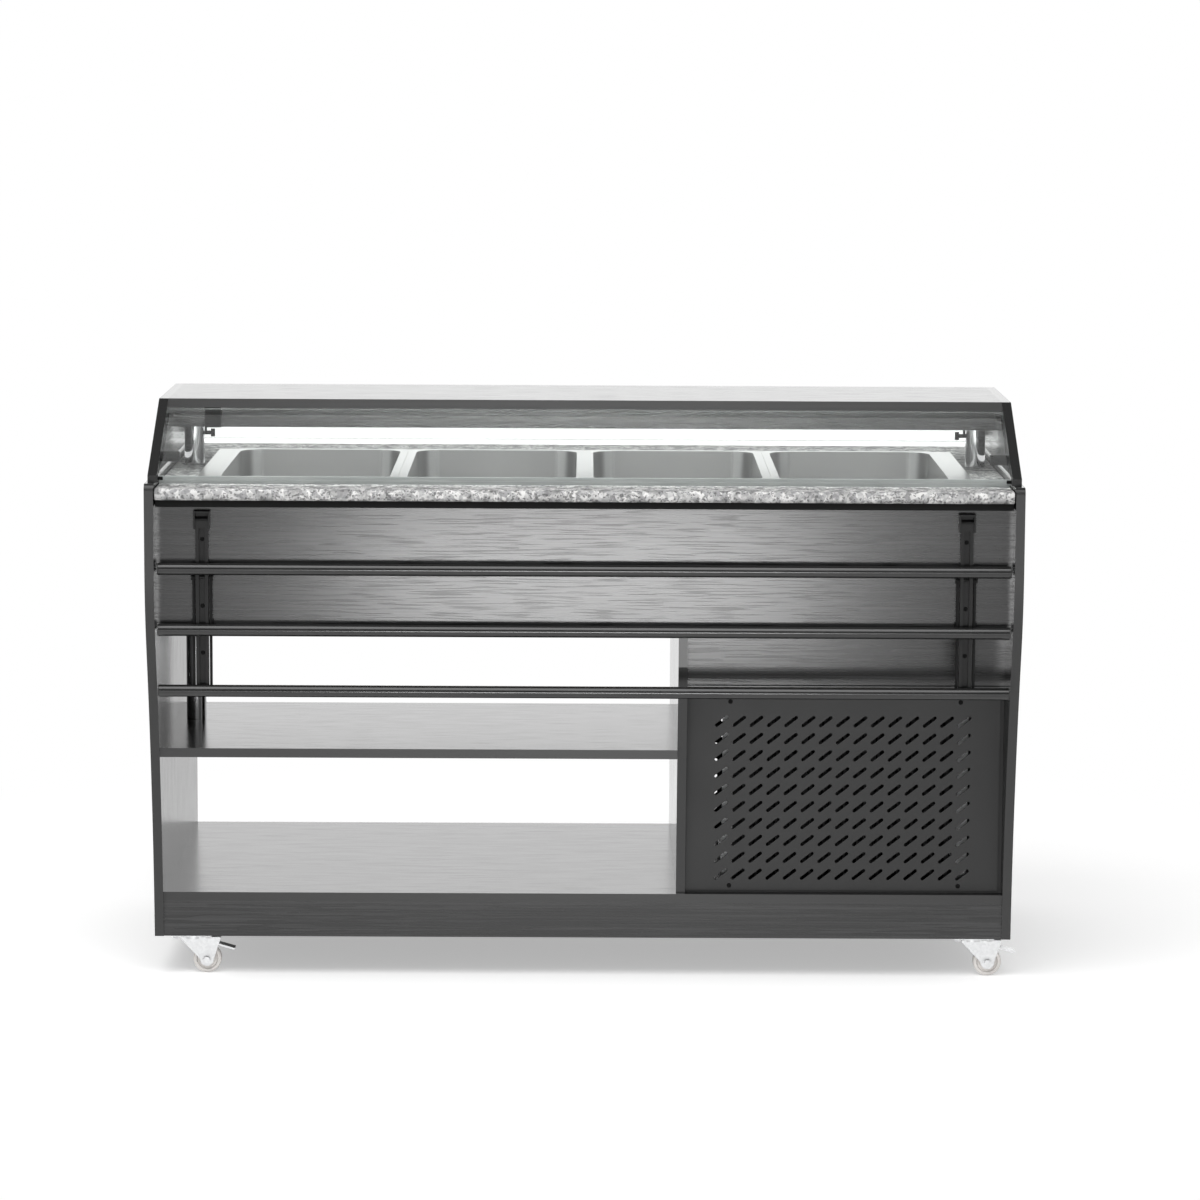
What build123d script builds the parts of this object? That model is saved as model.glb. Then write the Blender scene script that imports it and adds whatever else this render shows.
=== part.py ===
from build123d import *
import math
import os

# Refrigerated salad bar. Millimetres, +X to the customer's right, -Y the customer side, +Z up.
# The origin is on the floor, in the middle of the unit.

# Cabinet
unit_length = 1512.0
unit_depth = 800.0
board = 16.0
panel_top = 887.0
panel_corner = 12.0
knee_height = 740.0
knee_radius = 454.0
knee_lean = 18.5
foot_lean = 3.0
edge_setback = 3.0
plinth_height = 63.0
mid_shelf_top = 415.0
mid_shelf_setback = 206.0
compartment_length = 560.0
divider_setback = 15.0
castor_board_width = 100.0
castor_board_gap = 0.5

# Stone worktop
worktop_drop = 9.0
stone_thickness = 20.0
stone_end_gap = 2.0
stone_edge_inset = 5.0
stone_nose = 8.0
cutout_clearance = 4.0
batten_height = 12.0
batten_width = 60.0
end_batten_width = 14.0
batten_recess = 10.0

# Aprons under the worktop
apron_height = 216.0
front_apron_recess = 48.0
rear_apron_recess = 16.0

# Cold well
pan_end_room = 86.0
pan_gap = 2.0
pan_length = 530.0
pan_width = 325.0
pan_rim = 14.0
pan_depth = 150.0
pan_draft = 3.0
pan_wall = 1.0
pan_corner = 42.0
rim_corner = 21.0
pan_floor_radius = 20.0
rim_seat = 9.0
end_rim_seat = 4.0
basin_wall = 1.2
basin_depth = 179.0
basin_corner = 24.0
end_flange = 32.0
side_flange = 12.0
foam_apron_gap = 26.4
end_foam_wall = 20.0
foam_floor = 40.0
foam_clearance = 0.4
bar_width = 20.0
bar_height = 12.0
tube_radius = 5.0
tube_runs = 6
tube_pitch = 70.0
tube_end_room = 149.0
tube_seat = 0.3
drain_end_room = 249.0
drain_radius = 14.0
drain_wall = 2.0
drain_length = 110.0
tap_length = 42.0
tap_width = 35.0
tap_height = 28.0

# Telescopic posts and hood
post_panel_gap = 18.0
post_radius = 18.0
post_wall = 2.0
post_head_gap = 42.0
post_hole_clearance = 0.5
slide_clearance = 0.3
slide_tube_lift = 60.0
clamp_drop = 20.0
clamp_radius = 3.5
clamp_reach = 15.0
clamp_bar_radius = 3.8
clamp_bar_length = 14.0
running_clearance = 0.05
post_ledge_length = 120.0
post_ledge_width = 90.0
hood_inset = 4.0
hood_height = 114.0
hood_top_depth = 312.0
hood_foot_inset = 28.0
buffer_height = 12.0
buffer_length = 28.0
beam_height = 48.0
beam_gap = 44.0
glass_thickness = 6.0
glass_inset = 14.5
glass_end_gap = 1.0
glass_lower_gap = 21.0
glass_upper_gap = 9.0
peg_radius = 9.0
peg_length = 30.0
peg_position = 99.0
pin_radius = 4.0
pin_length = 10.0
pin_inset = 13.0
stop_radius = 3.0
stop_length = 8.0
glass_seat = 0.2
lamp_box_end_gap = 55.0
lamp_box_length = 29.0
lamp_box_depth = 12.0
light_end_gap = 136.0
light_width = 22.0
light_height = 12.0
light_edge = 4.0

# Folding tray slide
arm_inset = 80.0
arm_width = 22.0
arm_depth = 12.0
arm_channel_width = 10.0
arm_channel_depth = 7.0
hinge_drop = 26.0
hinge_gap = 1.0
hinge_pin_radius = 4.0
cheek = 3.0
cheek_gap = 0.3
bracket_height = 28.0
bracket_plate = 3.0
rail_radius = 10.5
rail_wall = 1.5
rail_drops = (82.0, 188.0, 294.0)
rail_end_gap = 6.0
rail_seat = 0.2
stay_drop = 98.0
stay_length = 190.0
stay_thickness = 4.0
stay_depth = 11.4
stay_side_gap = 1.7
stay_pin_radius = 3.0
stay_pin_head = 5.0
stay_pin_head_height = 2.0
stay_pin_play = 0.5
catch_width = 40.0
catch_height = 14.0
catch_rise = 18.0

# Machine compartment
grille_recess = 142.0
grille_sheet = 3.0
grille_top = 508.0
grille_side_gap = 7.0
grille_foot_gap = 5.0
grille_rail_height = 12.0
fascia_recess = 150.0
slot_length = 29.0
slot_width = 6.0
slot_angle = 38.0
slot_pitch_x = 30.5
slot_pitch_z = 30.4
slot_margin_x = 48.0
slot_margin_z = 24.0
slot_shift = 11.5
rear_grille_inset = 25.0
unit_tray_left_gap = 70.0
unit_tray_right_gap = 50.0
unit_tray_depth = 400.0
unit_tray_sheet = 3.0
unit_tray_lip = 15.0
condenser_setback = 58.0
condenser_length = 385.0
condenser_depth = 50.0
condenser_height = 335.0
condenser_inset = 15.0
fin_pitch = 12.0
fin_cut = 8.0
fin_cut_depth = 42.0
shroud_depth = 40.0
shroud_wall = 3.0
fan_radius = 120.0
fan_tip_gap = 5.0
fan_depth = 22.0
fan_hub_radius = 24.0
fan_blades = 5
fan_pitch_angle = 32.0
blade_chord = 40.0
blade_thickness = 2.0
motor_radius = 30.0
motor_depth = 45.0
motor_arm_width = 12.0
motor_arm_overlap = 15.0
fan_shaft_radius = 4.0
fan_motor_gap = 3.0
compressor_end_gap = 18.0
compressor_rear_gap = 58.0
compressor_radius = 72.0
compressor_height = 175.0
compressor_dome = 50.0
compressor_foot = 12.0
control_inset = 65.0
control_drop = 55.0
control_length = 170.0
control_height = 70.0
control_plate = 3.0
knob_radius = 19.0
knob_height = 16.0
knob_edge = 2.0
knob_offset = 45.0
spindle_radius = 3.0
spindle_depth = 8.0
rocker_offset = 40.0
rocker_length = 20.0
rocker_height = 12.0
rocker_depth = 9.0
rocker_waist = 6.0
rocker_root = 7.0
rocker_base_gap = 1.5
rocker_frame = 4.0
rocker_frame_depth = 5.0
rocker_play = 0.5
inlet_inset = 140.0
inlet_length = 28.0
inlet_height = 24.0
inlet_depth = 14.0
inlet_wall = 2.0

# Castors
castor_inset = 48.0
castor_front_gap = 33.0
castor_rear_gap = 67.0
castor_trail = 26.0
wheel_radius = 25.0
wheel_width = 20.0
wheel_edge = 3.0
axle_radius = 4.0
plate_length = 72.0
plate_width = 60.0
plate_sheet = 2.0
raceway_radius = 20.0
raceway_height = 4.0
fork_top_radius = 19.0
fork_top_sheet = 3.0
fork_sheet = 3.0
fork_wheel_gap = 2.0
wheel_top_gap = 12.0
fork_eye_radius = 12.0
fork_back = 20.0
fork_nose = 24.0
kingpin_radius = 5.0
pedal_reach = 46.0
pedal_drop = 13.0
pedal_sheet = 3.0
pedal_pivot_x = 29.0
pedal_wheel_gap = 6.0
pedal_pin_radius = 2.5
pedal_barrel_radius = 4.5
pedal_side_gap = 0.4

os.makedirs("parts", exist_ok=True)

# Places worked out from the driving dimensions
half_length = unit_length / 2
inner_x = half_length - board
front_y = -unit_depth / 2
rear_y = unit_depth / 2
wheel_top = 2 * wheel_radius
castor_height = wheel_top + wheel_top_gap + fork_top_sheet + raceway_height + plate_sheet
lean = math.radians(knee_lean)
foot = math.radians(foot_lean)
knee_end_y = front_y + knee_radius * (1 - math.cos(lean))
knee_end_z = knee_height - knee_radius * math.sin(lean)
flare_radius = (knee_end_z - castor_height) / (math.sin(lean) - math.sin(foot))
worktop_top = panel_top - worktop_drop
stone_bottom = worktop_top - stone_thickness
apron_top = stone_bottom - batten_height
apron_bottom = apron_top - apron_height
front_apron_y = front_y + front_apron_recess
rear_apron_y = rear_y - rear_apron_recess
floor_bottom = castor_height + plinth_height
floor_top = floor_bottom + board
divider_left = inner_x - compartment_length - board
post_x = inner_x - post_panel_gap - post_radius
hood_bottom = panel_top + buffer_height
hood_top_z = hood_bottom + hood_height
hood_top_bottom = hood_top_z - board
post_top = hood_top_bottom - post_head_gap


def front_edge(z):
    """Y of the side panels' curved front edge at height z."""
    if z >= knee_height:
        return front_y
    if z >= knee_end_z:
        angle = math.asin((knee_height - z) / knee_radius)
        return front_y + knee_radius * (1 - math.cos(angle))
    angle = math.asin(math.sin(lean) - (knee_end_z - z) / flare_radius)
    return knee_end_y + flare_radius * (math.cos(angle) - math.cos(lean))


def edge_point(z, setback=0.0):
    return (front_edge(z) + setback, z)


def edge_arc(z_start, z_end, setback):
    """One arc of the curved front edge, as a line of the current outline."""
    z_middle = (z_start + z_end) / 2
    ThreePointArc(
        edge_point(z_start, setback), edge_point(z_middle, setback), edge_point(z_end, setback)
    )


def panel_outline(setback=0.0):
    """Side view of the cabinet with its curved front edge, as the current outline."""
    Polyline(
        edge_point(castor_height, setback),
        (rear_y, castor_height),
        (rear_y, panel_top),
        (front_y + setback, panel_top),
        (front_y + setback, knee_height),
    )
    edge_arc(knee_height, knee_end_z, setback)
    edge_arc(knee_end_z, castor_height, setback)


def block(x, y, z, mode=Mode.ADD):
    """A square-edged board or bar between two X, two Y and two Z values."""
    with Locations(((x[0] + x[1]) / 2, (y[0] + y[1]) / 2, z[0])):
        Box(
            x[1] - x[0],
            y[1] - y[0],
            z[1] - z[0],
            align=(Align.CENTER, Align.CENTER, Align.MIN),
            mode=mode,
        )


def rod(start, axis, radius, length, mode=Mode.ADD):
    """A round bar or bore from a point along a direction."""
    with Locations(Plane(origin=start, z_dir=axis)):
        Cylinder(radius, length, align=(Align.CENTER, Align.CENTER, Align.MIN), mode=mode)


def save(piece, name):
    piece.part.label = name
    export_step(piece.part, f"parts/{name}.step")


# Side panels
for name, panel_x in (("side_panel_left", -half_length), ("side_panel_right", inner_x)):
    with BuildPart() as side_panel:
        with BuildSketch(Plane.YZ.offset(panel_x)):
            with BuildLine():
                panel_outline()
            make_face()
        extrude(amount=board)
        fillet(side_panel.edges().filter_by(Axis.X).group_by(Axis.Z)[-1], panel_corner)
    save(side_panel, name)

# Stone worktop with the well cut-out and the two post holes
pan_pitch = pan_width + pan_gap
pan_count = int((2 * (inner_x - pan_end_room) + pan_gap) / pan_pitch)
pan_row_half = (pan_count * pan_pitch - pan_gap) / 2
basin_half_x = pan_row_half - end_rim_seat
basin_half_y = pan_length / 2 - rim_seat
stone_half_x = inner_x - stone_end_gap
stone_half_y = unit_depth / 2 - stone_edge_inset
cutout_x = 2 * (basin_half_x + basin_wall + cutout_clearance)
cutout_y = 2 * (basin_half_y + basin_wall + cutout_clearance)
with BuildPart() as worktop:
    with BuildSketch(Plane.XY.offset(stone_bottom)):
        Rectangle(2 * stone_half_x, 2 * stone_half_y)
    extrude(amount=stone_thickness)
    fillet(worktop.edges().filter_by(Axis.X), stone_nose)
    with BuildSketch(Plane.XY.offset(stone_bottom)):
        RectangleRounded(cutout_x, cutout_y, basin_corner)
        with Locations((-post_x, 0), (post_x, 0)):
            Circle(post_radius + post_hole_clearance)
    extrude(amount=stone_thickness, mode=Mode.SUBTRACT)
save(worktop, "worktop")

# Dark battens between the stone and the aprons
batten_front = front_y + stone_edge_inset + batten_recess
with BuildPart() as worktop_battens:
    for side in (-1, 1):
        outer = side * -batten_front
        inner = outer - side * batten_width
        block((-stone_half_x, stone_half_x), sorted((outer, inner)), (apron_top, stone_bottom))
        end = sorted((side * stone_half_x, side * (stone_half_x - end_batten_width)))
        reach = -batten_front - batten_width - stone_end_gap
        block(end, (-reach, reach), (apron_top, stone_bottom))
save(worktop_battens, "worktop_battens")

# Aprons
with BuildPart() as apron_front:
    block((-inner_x, inner_x), (front_apron_y, front_apron_y + board), (apron_bottom, apron_top))
save(apron_front, "apron_front")

with BuildPart() as apron_rear:
    block((-inner_x, inner_x), (rear_apron_y - board, rear_apron_y), (apron_bottom, apron_top))
save(apron_rear, "apron_rear")

# Stainless basin of the cold well, hung by its flange on the stone
flange_top = worktop_top + basin_wall
basin_floor = flange_top - basin_depth
drain_x = basin_half_x - drain_end_room
with BuildPart() as well_basin:
    with BuildSketch(Plane.XY.offset(worktop_top)):
        Rectangle(2 * (basin_half_x + end_flange), 2 * (basin_half_y + side_flange))
    extrude(amount=basin_wall)
    with BuildSketch(Plane.XY.offset(basin_floor - basin_wall)):
        RectangleRounded(
            2 * (basin_half_x + basin_wall), 2 * (basin_half_y + basin_wall), basin_corner
        )
    extrude(amount=basin_depth + basin_wall)
    with BuildSketch(Plane.XY.offset(basin_floor)):
        RectangleRounded(2 * basin_half_x, 2 * basin_half_y, basin_corner - basin_wall)
    extrude(amount=basin_depth, mode=Mode.SUBTRACT)
    rod((drain_x, 0, basin_floor - basin_wall), (0, 0, 1), drain_radius - drain_wall, basin_wall,
        mode=Mode.SUBTRACT)
save(well_basin, "well_basin")

# Cold tube under the basin floor, in flat runs joined by half turns
tube_gap = 2 * tube_radius + 2 * tube_seat
tube_z = basin_floor - basin_wall - tube_seat - tube_radius
run_half = basin_half_x - tube_end_room
with BuildPart() as evaporator_tube:
    with BuildLine() as tube_path:
        for run in range(tube_runs):
            side = 1 if run % 2 == 0 else -1
            run_y = (run - (tube_runs - 1) / 2) * tube_pitch
            Line((-side * run_half, run_y, tube_z), (side * run_half, run_y, tube_z))
            if run < tube_runs - 1:
                ThreePointArc(
                    (side * run_half, run_y, tube_z),
                    (side * (run_half + tube_pitch / 2), run_y + tube_pitch / 2, tube_z),
                    (side * run_half, run_y + tube_pitch, tube_z),
                )
    with BuildSketch(Plane(origin=tube_path.line @ 0, z_dir=tube_path.line % 0)):
        Circle(tube_radius)
    sweep()
save(evaporator_tube, "evaporator_tube")

# Foam tub round the basin
foam_cavity_x = basin_half_x + basin_wall + foam_clearance
foam_cavity_y = basin_half_y + basin_wall + foam_clearance
foam_half_y = -front_apron_y - board - foam_apron_gap
foam_inner_floor = basin_floor - basin_wall - tube_gap
foam_bottom = foam_inner_floor - foam_floor
with BuildPart() as well_foam:
    with BuildSketch(Plane.XY.offset(foam_bottom)):
        Rectangle(2 * (foam_cavity_x + end_foam_wall), 2 * foam_half_y)
    extrude(amount=stone_bottom - foam_bottom)
    with BuildSketch(Plane.XY.offset(foam_inner_floor)):
        RectangleRounded(2 * foam_cavity_x, 2 * foam_cavity_y, basin_corner)
    extrude(amount=stone_bottom - foam_inner_floor, mode=Mode.SUBTRACT)
    rod((drain_x, 0, foam_bottom), (0, 0, 1), drain_radius + foam_clearance, foam_floor,
        mode=Mode.SUBTRACT)
save(well_foam, "well_foam")

# Drain pipe with the body of its tap
drain_top = basin_floor - basin_wall
with BuildPart() as drain_pipe:
    rod((drain_x, 0, drain_top - drain_length), (0, 0, 1), drain_radius, drain_length)
    tap_middle = (drain_x, 0, drain_top - drain_length + tap_height / 2)
    with Locations(tap_middle):
        Box(tap_length, tap_width, tap_height)
    rod((drain_x, 0, drain_top - drain_length), (0, 0, 1), drain_radius - drain_wall, drain_length,
        mode=Mode.SUBTRACT)
save(drain_pipe, "drain_pipe")

# Cross bars that carry the pan rims between the pans
with BuildPart() as pan_bars:
    for seam in range(1, pan_count):
        bar_x = (seam - pan_count / 2) * pan_pitch
        block(
            (bar_x - bar_width / 2, bar_x + bar_width / 2),
            (-basin_half_y, basin_half_y),
            (flange_top - bar_height, flange_top),
        )
save(pan_bars, "pan_bars")

# Food pans, each a drawn tub with a flat rim
rim_top = flange_top + pan_wall
pan_mouth_x = pan_width - 2 * pan_rim
pan_mouth_y = pan_length - 2 * pan_rim


def tub(wall):
    """Solid tub with drafted sides and a rounded floor, the pan's inside grown by a wall."""
    with BuildPart() as shape:
        with BuildSketch(Plane.XY.offset(rim_top)):
            RectangleRounded(pan_mouth_x + 2 * wall, pan_mouth_y + 2 * wall, pan_corner + wall)
        extrude(amount=-(pan_depth - pan_wall + wall), taper=pan_draft)
        fillet(shape.edges().group_by(Axis.Z)[0], pan_floor_radius + wall)
    return shape.part


outer_tub = tub(pan_wall)
inner_tub = tub(0.0)
with BuildPart() as pan_form:
    with BuildSketch(Plane.XY.offset(flange_top)):
        RectangleRounded(pan_width, pan_length, rim_corner)
    extrude(amount=pan_wall)
    add(outer_tub)
    add(inner_tub, mode=Mode.SUBTRACT)

for index in range(pan_count):
    with BuildPart() as pan:
        with Locations(((index - (pan_count - 1) / 2) * pan_pitch, 0)):
            add(pan_form.part)
    save(pan, f"pan_{index + 1}")

# Shelves, divider and plinth
mid_shelf_bottom = mid_shelf_top - board
with BuildPart() as mid_shelf:
    block(
        (-inner_x, divider_left),
        (front_edge(mid_shelf_bottom) + edge_setback, rear_y - mid_shelf_setback),
        (mid_shelf_bottom, mid_shelf_top),
    )
save(mid_shelf, "mid_shelf")

floor_front = front_edge(castor_height) + edge_setback
floor_rear = rear_y - edge_setback
with BuildPart() as bottom_board:
    block((-inner_x, inner_x), (floor_front, floor_rear), (floor_bottom, floor_top))
save(bottom_board, "bottom_board")

with BuildPart() as divider:
    with BuildSketch(Plane.YZ.offset(divider_left)):
        with BuildLine():
            panel_outline(divider_setback)
        make_face()
        with Locations(((front_apron_y + rear_apron_y) / 2, (floor_top + apron_bottom) / 2)):
            Rectangle(rear_apron_y - front_apron_y, apron_bottom - floor_top, mode=Mode.INTERSECT)
    extrude(amount=board)
save(divider, "divider")

with BuildPart() as plinth_boards:
    block((-inner_x, inner_x), (floor_front, floor_front + board), (castor_height, floor_bottom))
    block((-inner_x, inner_x), (floor_rear - board, floor_rear), (castor_height, floor_bottom))
    for side in (-1, 1):
        block(
            sorted((side * inner_x, side * (inner_x - castor_board_width))),
            (floor_front + board + castor_board_gap, floor_rear - board - castor_board_gap),
            (castor_height, castor_height + board),
        )
save(plinth_boards, "plinth_boards")

with BuildPart() as post_ledge:
    block(
        (inner_x - post_ledge_width, inner_x),
        (-post_ledge_length / 2, post_ledge_length / 2),
        (mid_shelf_bottom, mid_shelf_top),
    )
save(post_ledge, "post_ledge")

# Outer tubes of the telescopic posts, each with a tapped hole for its clamp screw
clamp_height = post_top - clamp_drop
with BuildPart() as post_tubes:
    for side in (-1, 1):
        foot_point = (side * post_x, 0, mid_shelf_top)
        rod(foot_point, (0, 0, 1), post_radius, post_top - mid_shelf_top)
        rod(foot_point, (0, 0, 1), post_radius - post_wall, post_top - mid_shelf_top,
            mode=Mode.SUBTRACT)
        rod((side * post_x, 0, clamp_height), (-side, 0, 0), clamp_radius + running_clearance,
            post_radius, mode=Mode.SUBTRACT)
save(post_tubes, "post_tubes")

# Clamp screws with a cross bar handle
screw_tip = post_radius - post_wall
screw_end = post_radius + clamp_reach
for name, side in (("clamp_screw_left", -1), ("clamp_screw_right", 1)):
    with BuildPart() as clamp_screw:
        rod((side * (post_x - screw_tip), 0, clamp_height), (-side, 0, 0), clamp_radius,
            screw_end - screw_tip)
        rod((side * (post_x - screw_end), 0, clamp_height - clamp_bar_length / 2), (0, 0, 1),
            clamp_bar_radius, clamp_bar_length)
    save(clamp_screw, name)

# Hood: ends, top board and the pair of beams
hood_half_x = half_length - hood_inset
hood_inner_x = hood_half_x - board
hood_foot_y = rear_y - hood_foot_inset
hood_top_y = hood_top_depth / 2
for name, hood_x in (("hood_side_left", -hood_half_x), ("hood_side_right", hood_inner_x)):
    with BuildPart() as hood_side:
        with BuildSketch(Plane.YZ.offset(hood_x)):
            with BuildLine():
                Polyline(
                    (-hood_foot_y, hood_bottom),
                    (-hood_top_y, hood_top_z),
                    (hood_top_y, hood_top_z),
                    (hood_foot_y, hood_bottom),
                    close=True,
                )
            make_face()
        extrude(amount=board)
    save(hood_side, name)

with BuildPart() as hood_top:
    block((-hood_inner_x, hood_inner_x), (-hood_top_y, hood_top_y), (hood_top_bottom, hood_top_z))
save(hood_top, "hood_top")

beam_inner = beam_gap / 2
with BuildPart() as hood_beams:
    for side in (-1, 1):
        block(
            (-hood_inner_x, hood_inner_x),
            sorted((side * beam_inner, side * (beam_inner + board))),
            (hood_top_bottom - beam_height, hood_top_bottom),
        )
save(hood_beams, "hood_beams")

with BuildPart() as light_bar:
    block(
        (light_end_gap - hood_inner_x, hood_inner_x - light_end_gap),
        (-light_width / 2, light_width / 2),
        (hood_top_bottom - light_height, hood_top_bottom),
    )
    fillet(light_bar.edges().filter_by(Axis.X).group_by(Axis.Z)[0], light_edge)
save(light_bar, "light_bar")

slide_radius = post_radius - post_wall - slide_clearance
slide_tube_bottom = mid_shelf_top + slide_tube_lift
slide_length = hood_top_bottom - slide_tube_bottom
with BuildPart() as hood_tubes:
    for side in (-1, 1):
        foot_point = (side * post_x, 0, slide_tube_bottom)
        rod(foot_point, (0, 0, 1), slide_radius, slide_length)
        rod(foot_point, (0, 0, 1), slide_radius - post_wall, slide_length, mode=Mode.SUBTRACT)
save(hood_tubes, "hood_tubes")

with BuildPart() as hood_buffers:
    for side in (-1, 1):
        for face in (-1, 1):
            block(
                sorted((side * hood_half_x, side * hood_inner_x)),
                sorted((face * hood_foot_y, face * (hood_foot_y - buffer_length))),
                (panel_top, hood_bottom),
            )
save(hood_buffers, "hood_buffers")

# Sloped glass, laid out along the sloped edge of the hood ends
slope_run = hood_foot_y - hood_top_y
slope_rise = hood_height
slope_length = math.hypot(slope_run, slope_rise)
run_share = slope_run / slope_length
rise_share = slope_rise / slope_length


def slope_point(face, along, below):
    """Y and Z of a point up the hood's sloped edge and square below it, on the face's side."""
    across = -hood_foot_y + along * run_share + below * rise_share
    return (-face * across, hood_bottom + along * rise_share - below * run_share)


glass_half_x = hood_inner_x - glass_end_gap
glass_under = glass_inset + glass_thickness
glass_end = slope_length - glass_upper_gap
for name, face in (("hood_glass_front", -1), ("hood_glass_rear", 1)):
    with BuildPart() as hood_glass:
        with BuildSketch(Plane.YZ.offset(-glass_half_x)):
            with BuildLine():
                Polyline(
                    slope_point(face, glass_lower_gap, glass_inset),
                    slope_point(face, glass_end, glass_inset),
                    slope_point(face, glass_end, glass_under),
                    slope_point(face, glass_lower_gap, glass_under),
                    close=True,
                )
            make_face()
        extrude(amount=2 * glass_half_x)
    save(hood_glass, name)

# Small black fittings: pegs, pins and stops that carry the glass, and the lamp's supply box
peg_rows = (
    (peg_position, glass_under + glass_seat + peg_radius, peg_radius, peg_length),
    (glass_end - pin_inset, glass_under + glass_seat + pin_radius, pin_radius, pin_length),
    (glass_lower_gap - glass_seat - stop_radius, glass_inset + glass_thickness / 2, stop_radius,
     stop_length),
)
with BuildPart() as hood_fittings:
    for side in (-1, 1):
        for face in (-1, 1):
            for along, below, radius, length in peg_rows:
                peg_y, peg_z = slope_point(face, along, below)
                rod((side * hood_inner_x, peg_y, peg_z), (-side, 0, 0), radius, length)
    block(
        (lamp_box_end_gap - hood_inner_x, lamp_box_end_gap - hood_inner_x + lamp_box_length),
        (-beam_inner - board - lamp_box_depth, -beam_inner - board),
        (hood_top_bottom - beam_height, hood_top_bottom),
    )
save(hood_fittings, "hood_fittings")

# Folding tray slide: brackets and catches on the apron
arm_x = inner_x - arm_inset
hinge_y = front_apron_y - bracket_plate - hinge_gap - arm_depth / 2
hinge_height = apron_top - hinge_drop
catch_top = apron_bottom + catch_rise
cheek_inner = arm_width / 2 + cheek_gap
cheek_outer = cheek_inner + cheek
bracket_top = hinge_height + bracket_height / 2
with BuildPart() as tray_brackets:
    for side in (-1, 1):
        middle = side * arm_x
        bracket_front = hinge_y - arm_depth / 2 - cheek
        for flank in (-1, 1):
            block(
                sorted((middle + flank * cheek_inner, middle + flank * cheek_outer)),
                (bracket_front, front_apron_y),
                (bracket_top - bracket_height, bracket_top),
            )
        block(
            (middle - cheek_outer, middle + cheek_outer),
            (bracket_front, front_apron_y),
            (bracket_top, bracket_top + cheek),
        )
        block(
            (middle - cheek_outer, middle + cheek_outer),
            (front_apron_y - bracket_plate, front_apron_y),
            (bracket_top - bracket_height, bracket_top),
        )
        rod((middle - cheek_inner, hinge_y, hinge_height), (1, 0, 0), hinge_pin_radius,
            2 * cheek_inner)
        block(
            (middle - catch_width / 2, middle + catch_width / 2),
            (front_apron_y - bracket_plate, front_apron_y),
            (catch_top - catch_height, catch_top),
        )
save(tray_brackets, "tray_brackets")

# Arms, with the cross pins that the stays hang on
stay_inner = arm_width / 2 + stay_side_gap
stay_outer = stay_inner + stay_thickness
pin_end = stay_outer + stay_pin_play
arm_bottom = hinge_height - rail_drops[-1] - rail_radius
stay_pivot_z = hinge_height - stay_drop
with BuildPart() as tray_arms:
    for side in (-1, 1):
        arm_start = side * arm_x - arm_width / 2
        with BuildSketch(Plane.YZ.offset(arm_start)):
            with Locations((hinge_y, (hinge_height + arm_bottom) / 2)):
                Rectangle(arm_depth, hinge_height - arm_bottom)
            with Locations((hinge_y, hinge_height)):
                Circle(arm_depth / 2)
                Circle(hinge_pin_radius + running_clearance, mode=Mode.SUBTRACT)
        extrude(amount=arm_width)
        block(
            (side * arm_x - arm_channel_width / 2, side * arm_x + arm_channel_width / 2),
            (hinge_y - arm_depth / 2, hinge_y - arm_depth / 2 + arm_channel_depth),
            (arm_bottom, hinge_height - arm_depth),
            mode=Mode.SUBTRACT,
        )
        rod((side * arm_x - pin_end, hinge_y, stay_pivot_z), (1, 0, 0), stay_pin_radius, 2 * pin_end)
        for flank in (-1, 1):
            rod((side * arm_x + flank * pin_end, hinge_y, stay_pivot_z), (flank, 0, 0),
                stay_pin_head, stay_pin_head_height)
save(tray_arms, "tray_arms")

rail_y = hinge_y - arm_depth / 2 - rail_seat - rail_radius
rail_half = inner_x - rail_end_gap
with BuildPart() as tray_rails:
    for drop in rail_drops:
        rail_start = (-rail_half, rail_y, hinge_height - drop)
        rod(rail_start, (1, 0, 0), rail_radius, 2 * rail_half)
        rod(rail_start, (1, 0, 0), rail_radius - rail_wall, 2 * rail_half, mode=Mode.SUBTRACT)
save(tray_rails, "tray_rails")

with BuildPart() as tray_stays:
    for side in (-1, 1):
        for flank in (-1, 1):
            start = side * arm_x + min(flank * stay_inner, flank * stay_outer)
            with BuildSketch(Plane.YZ.offset(start)):
                with Locations((hinge_y, stay_pivot_z - stay_length / 2)):
                    SlotCenterToCenter(stay_length, stay_depth, rotation=90)
                with Locations((hinge_y, stay_pivot_z)):
                    Circle(stay_pin_radius + running_clearance, mode=Mode.SUBTRACT)
            extrude(amount=stay_thickness)
save(tray_stays, "tray_stays")

# Front of the machine compartment: fixed panel, rail and slotted grille
compartment_x = (divider_left + board, inner_x)
grille_y = front_y + grille_recess
fascia_y = front_y + fascia_recess
rail_top = grille_top + grille_rail_height
with BuildPart() as compartment_fascia:
    block(compartment_x, (fascia_y, fascia_y + board), (rail_top, foam_bottom))
    block(compartment_x, (grille_y, fascia_y + board), (grille_top, rail_top))
save(compartment_fascia, "compartment_fascia")

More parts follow.
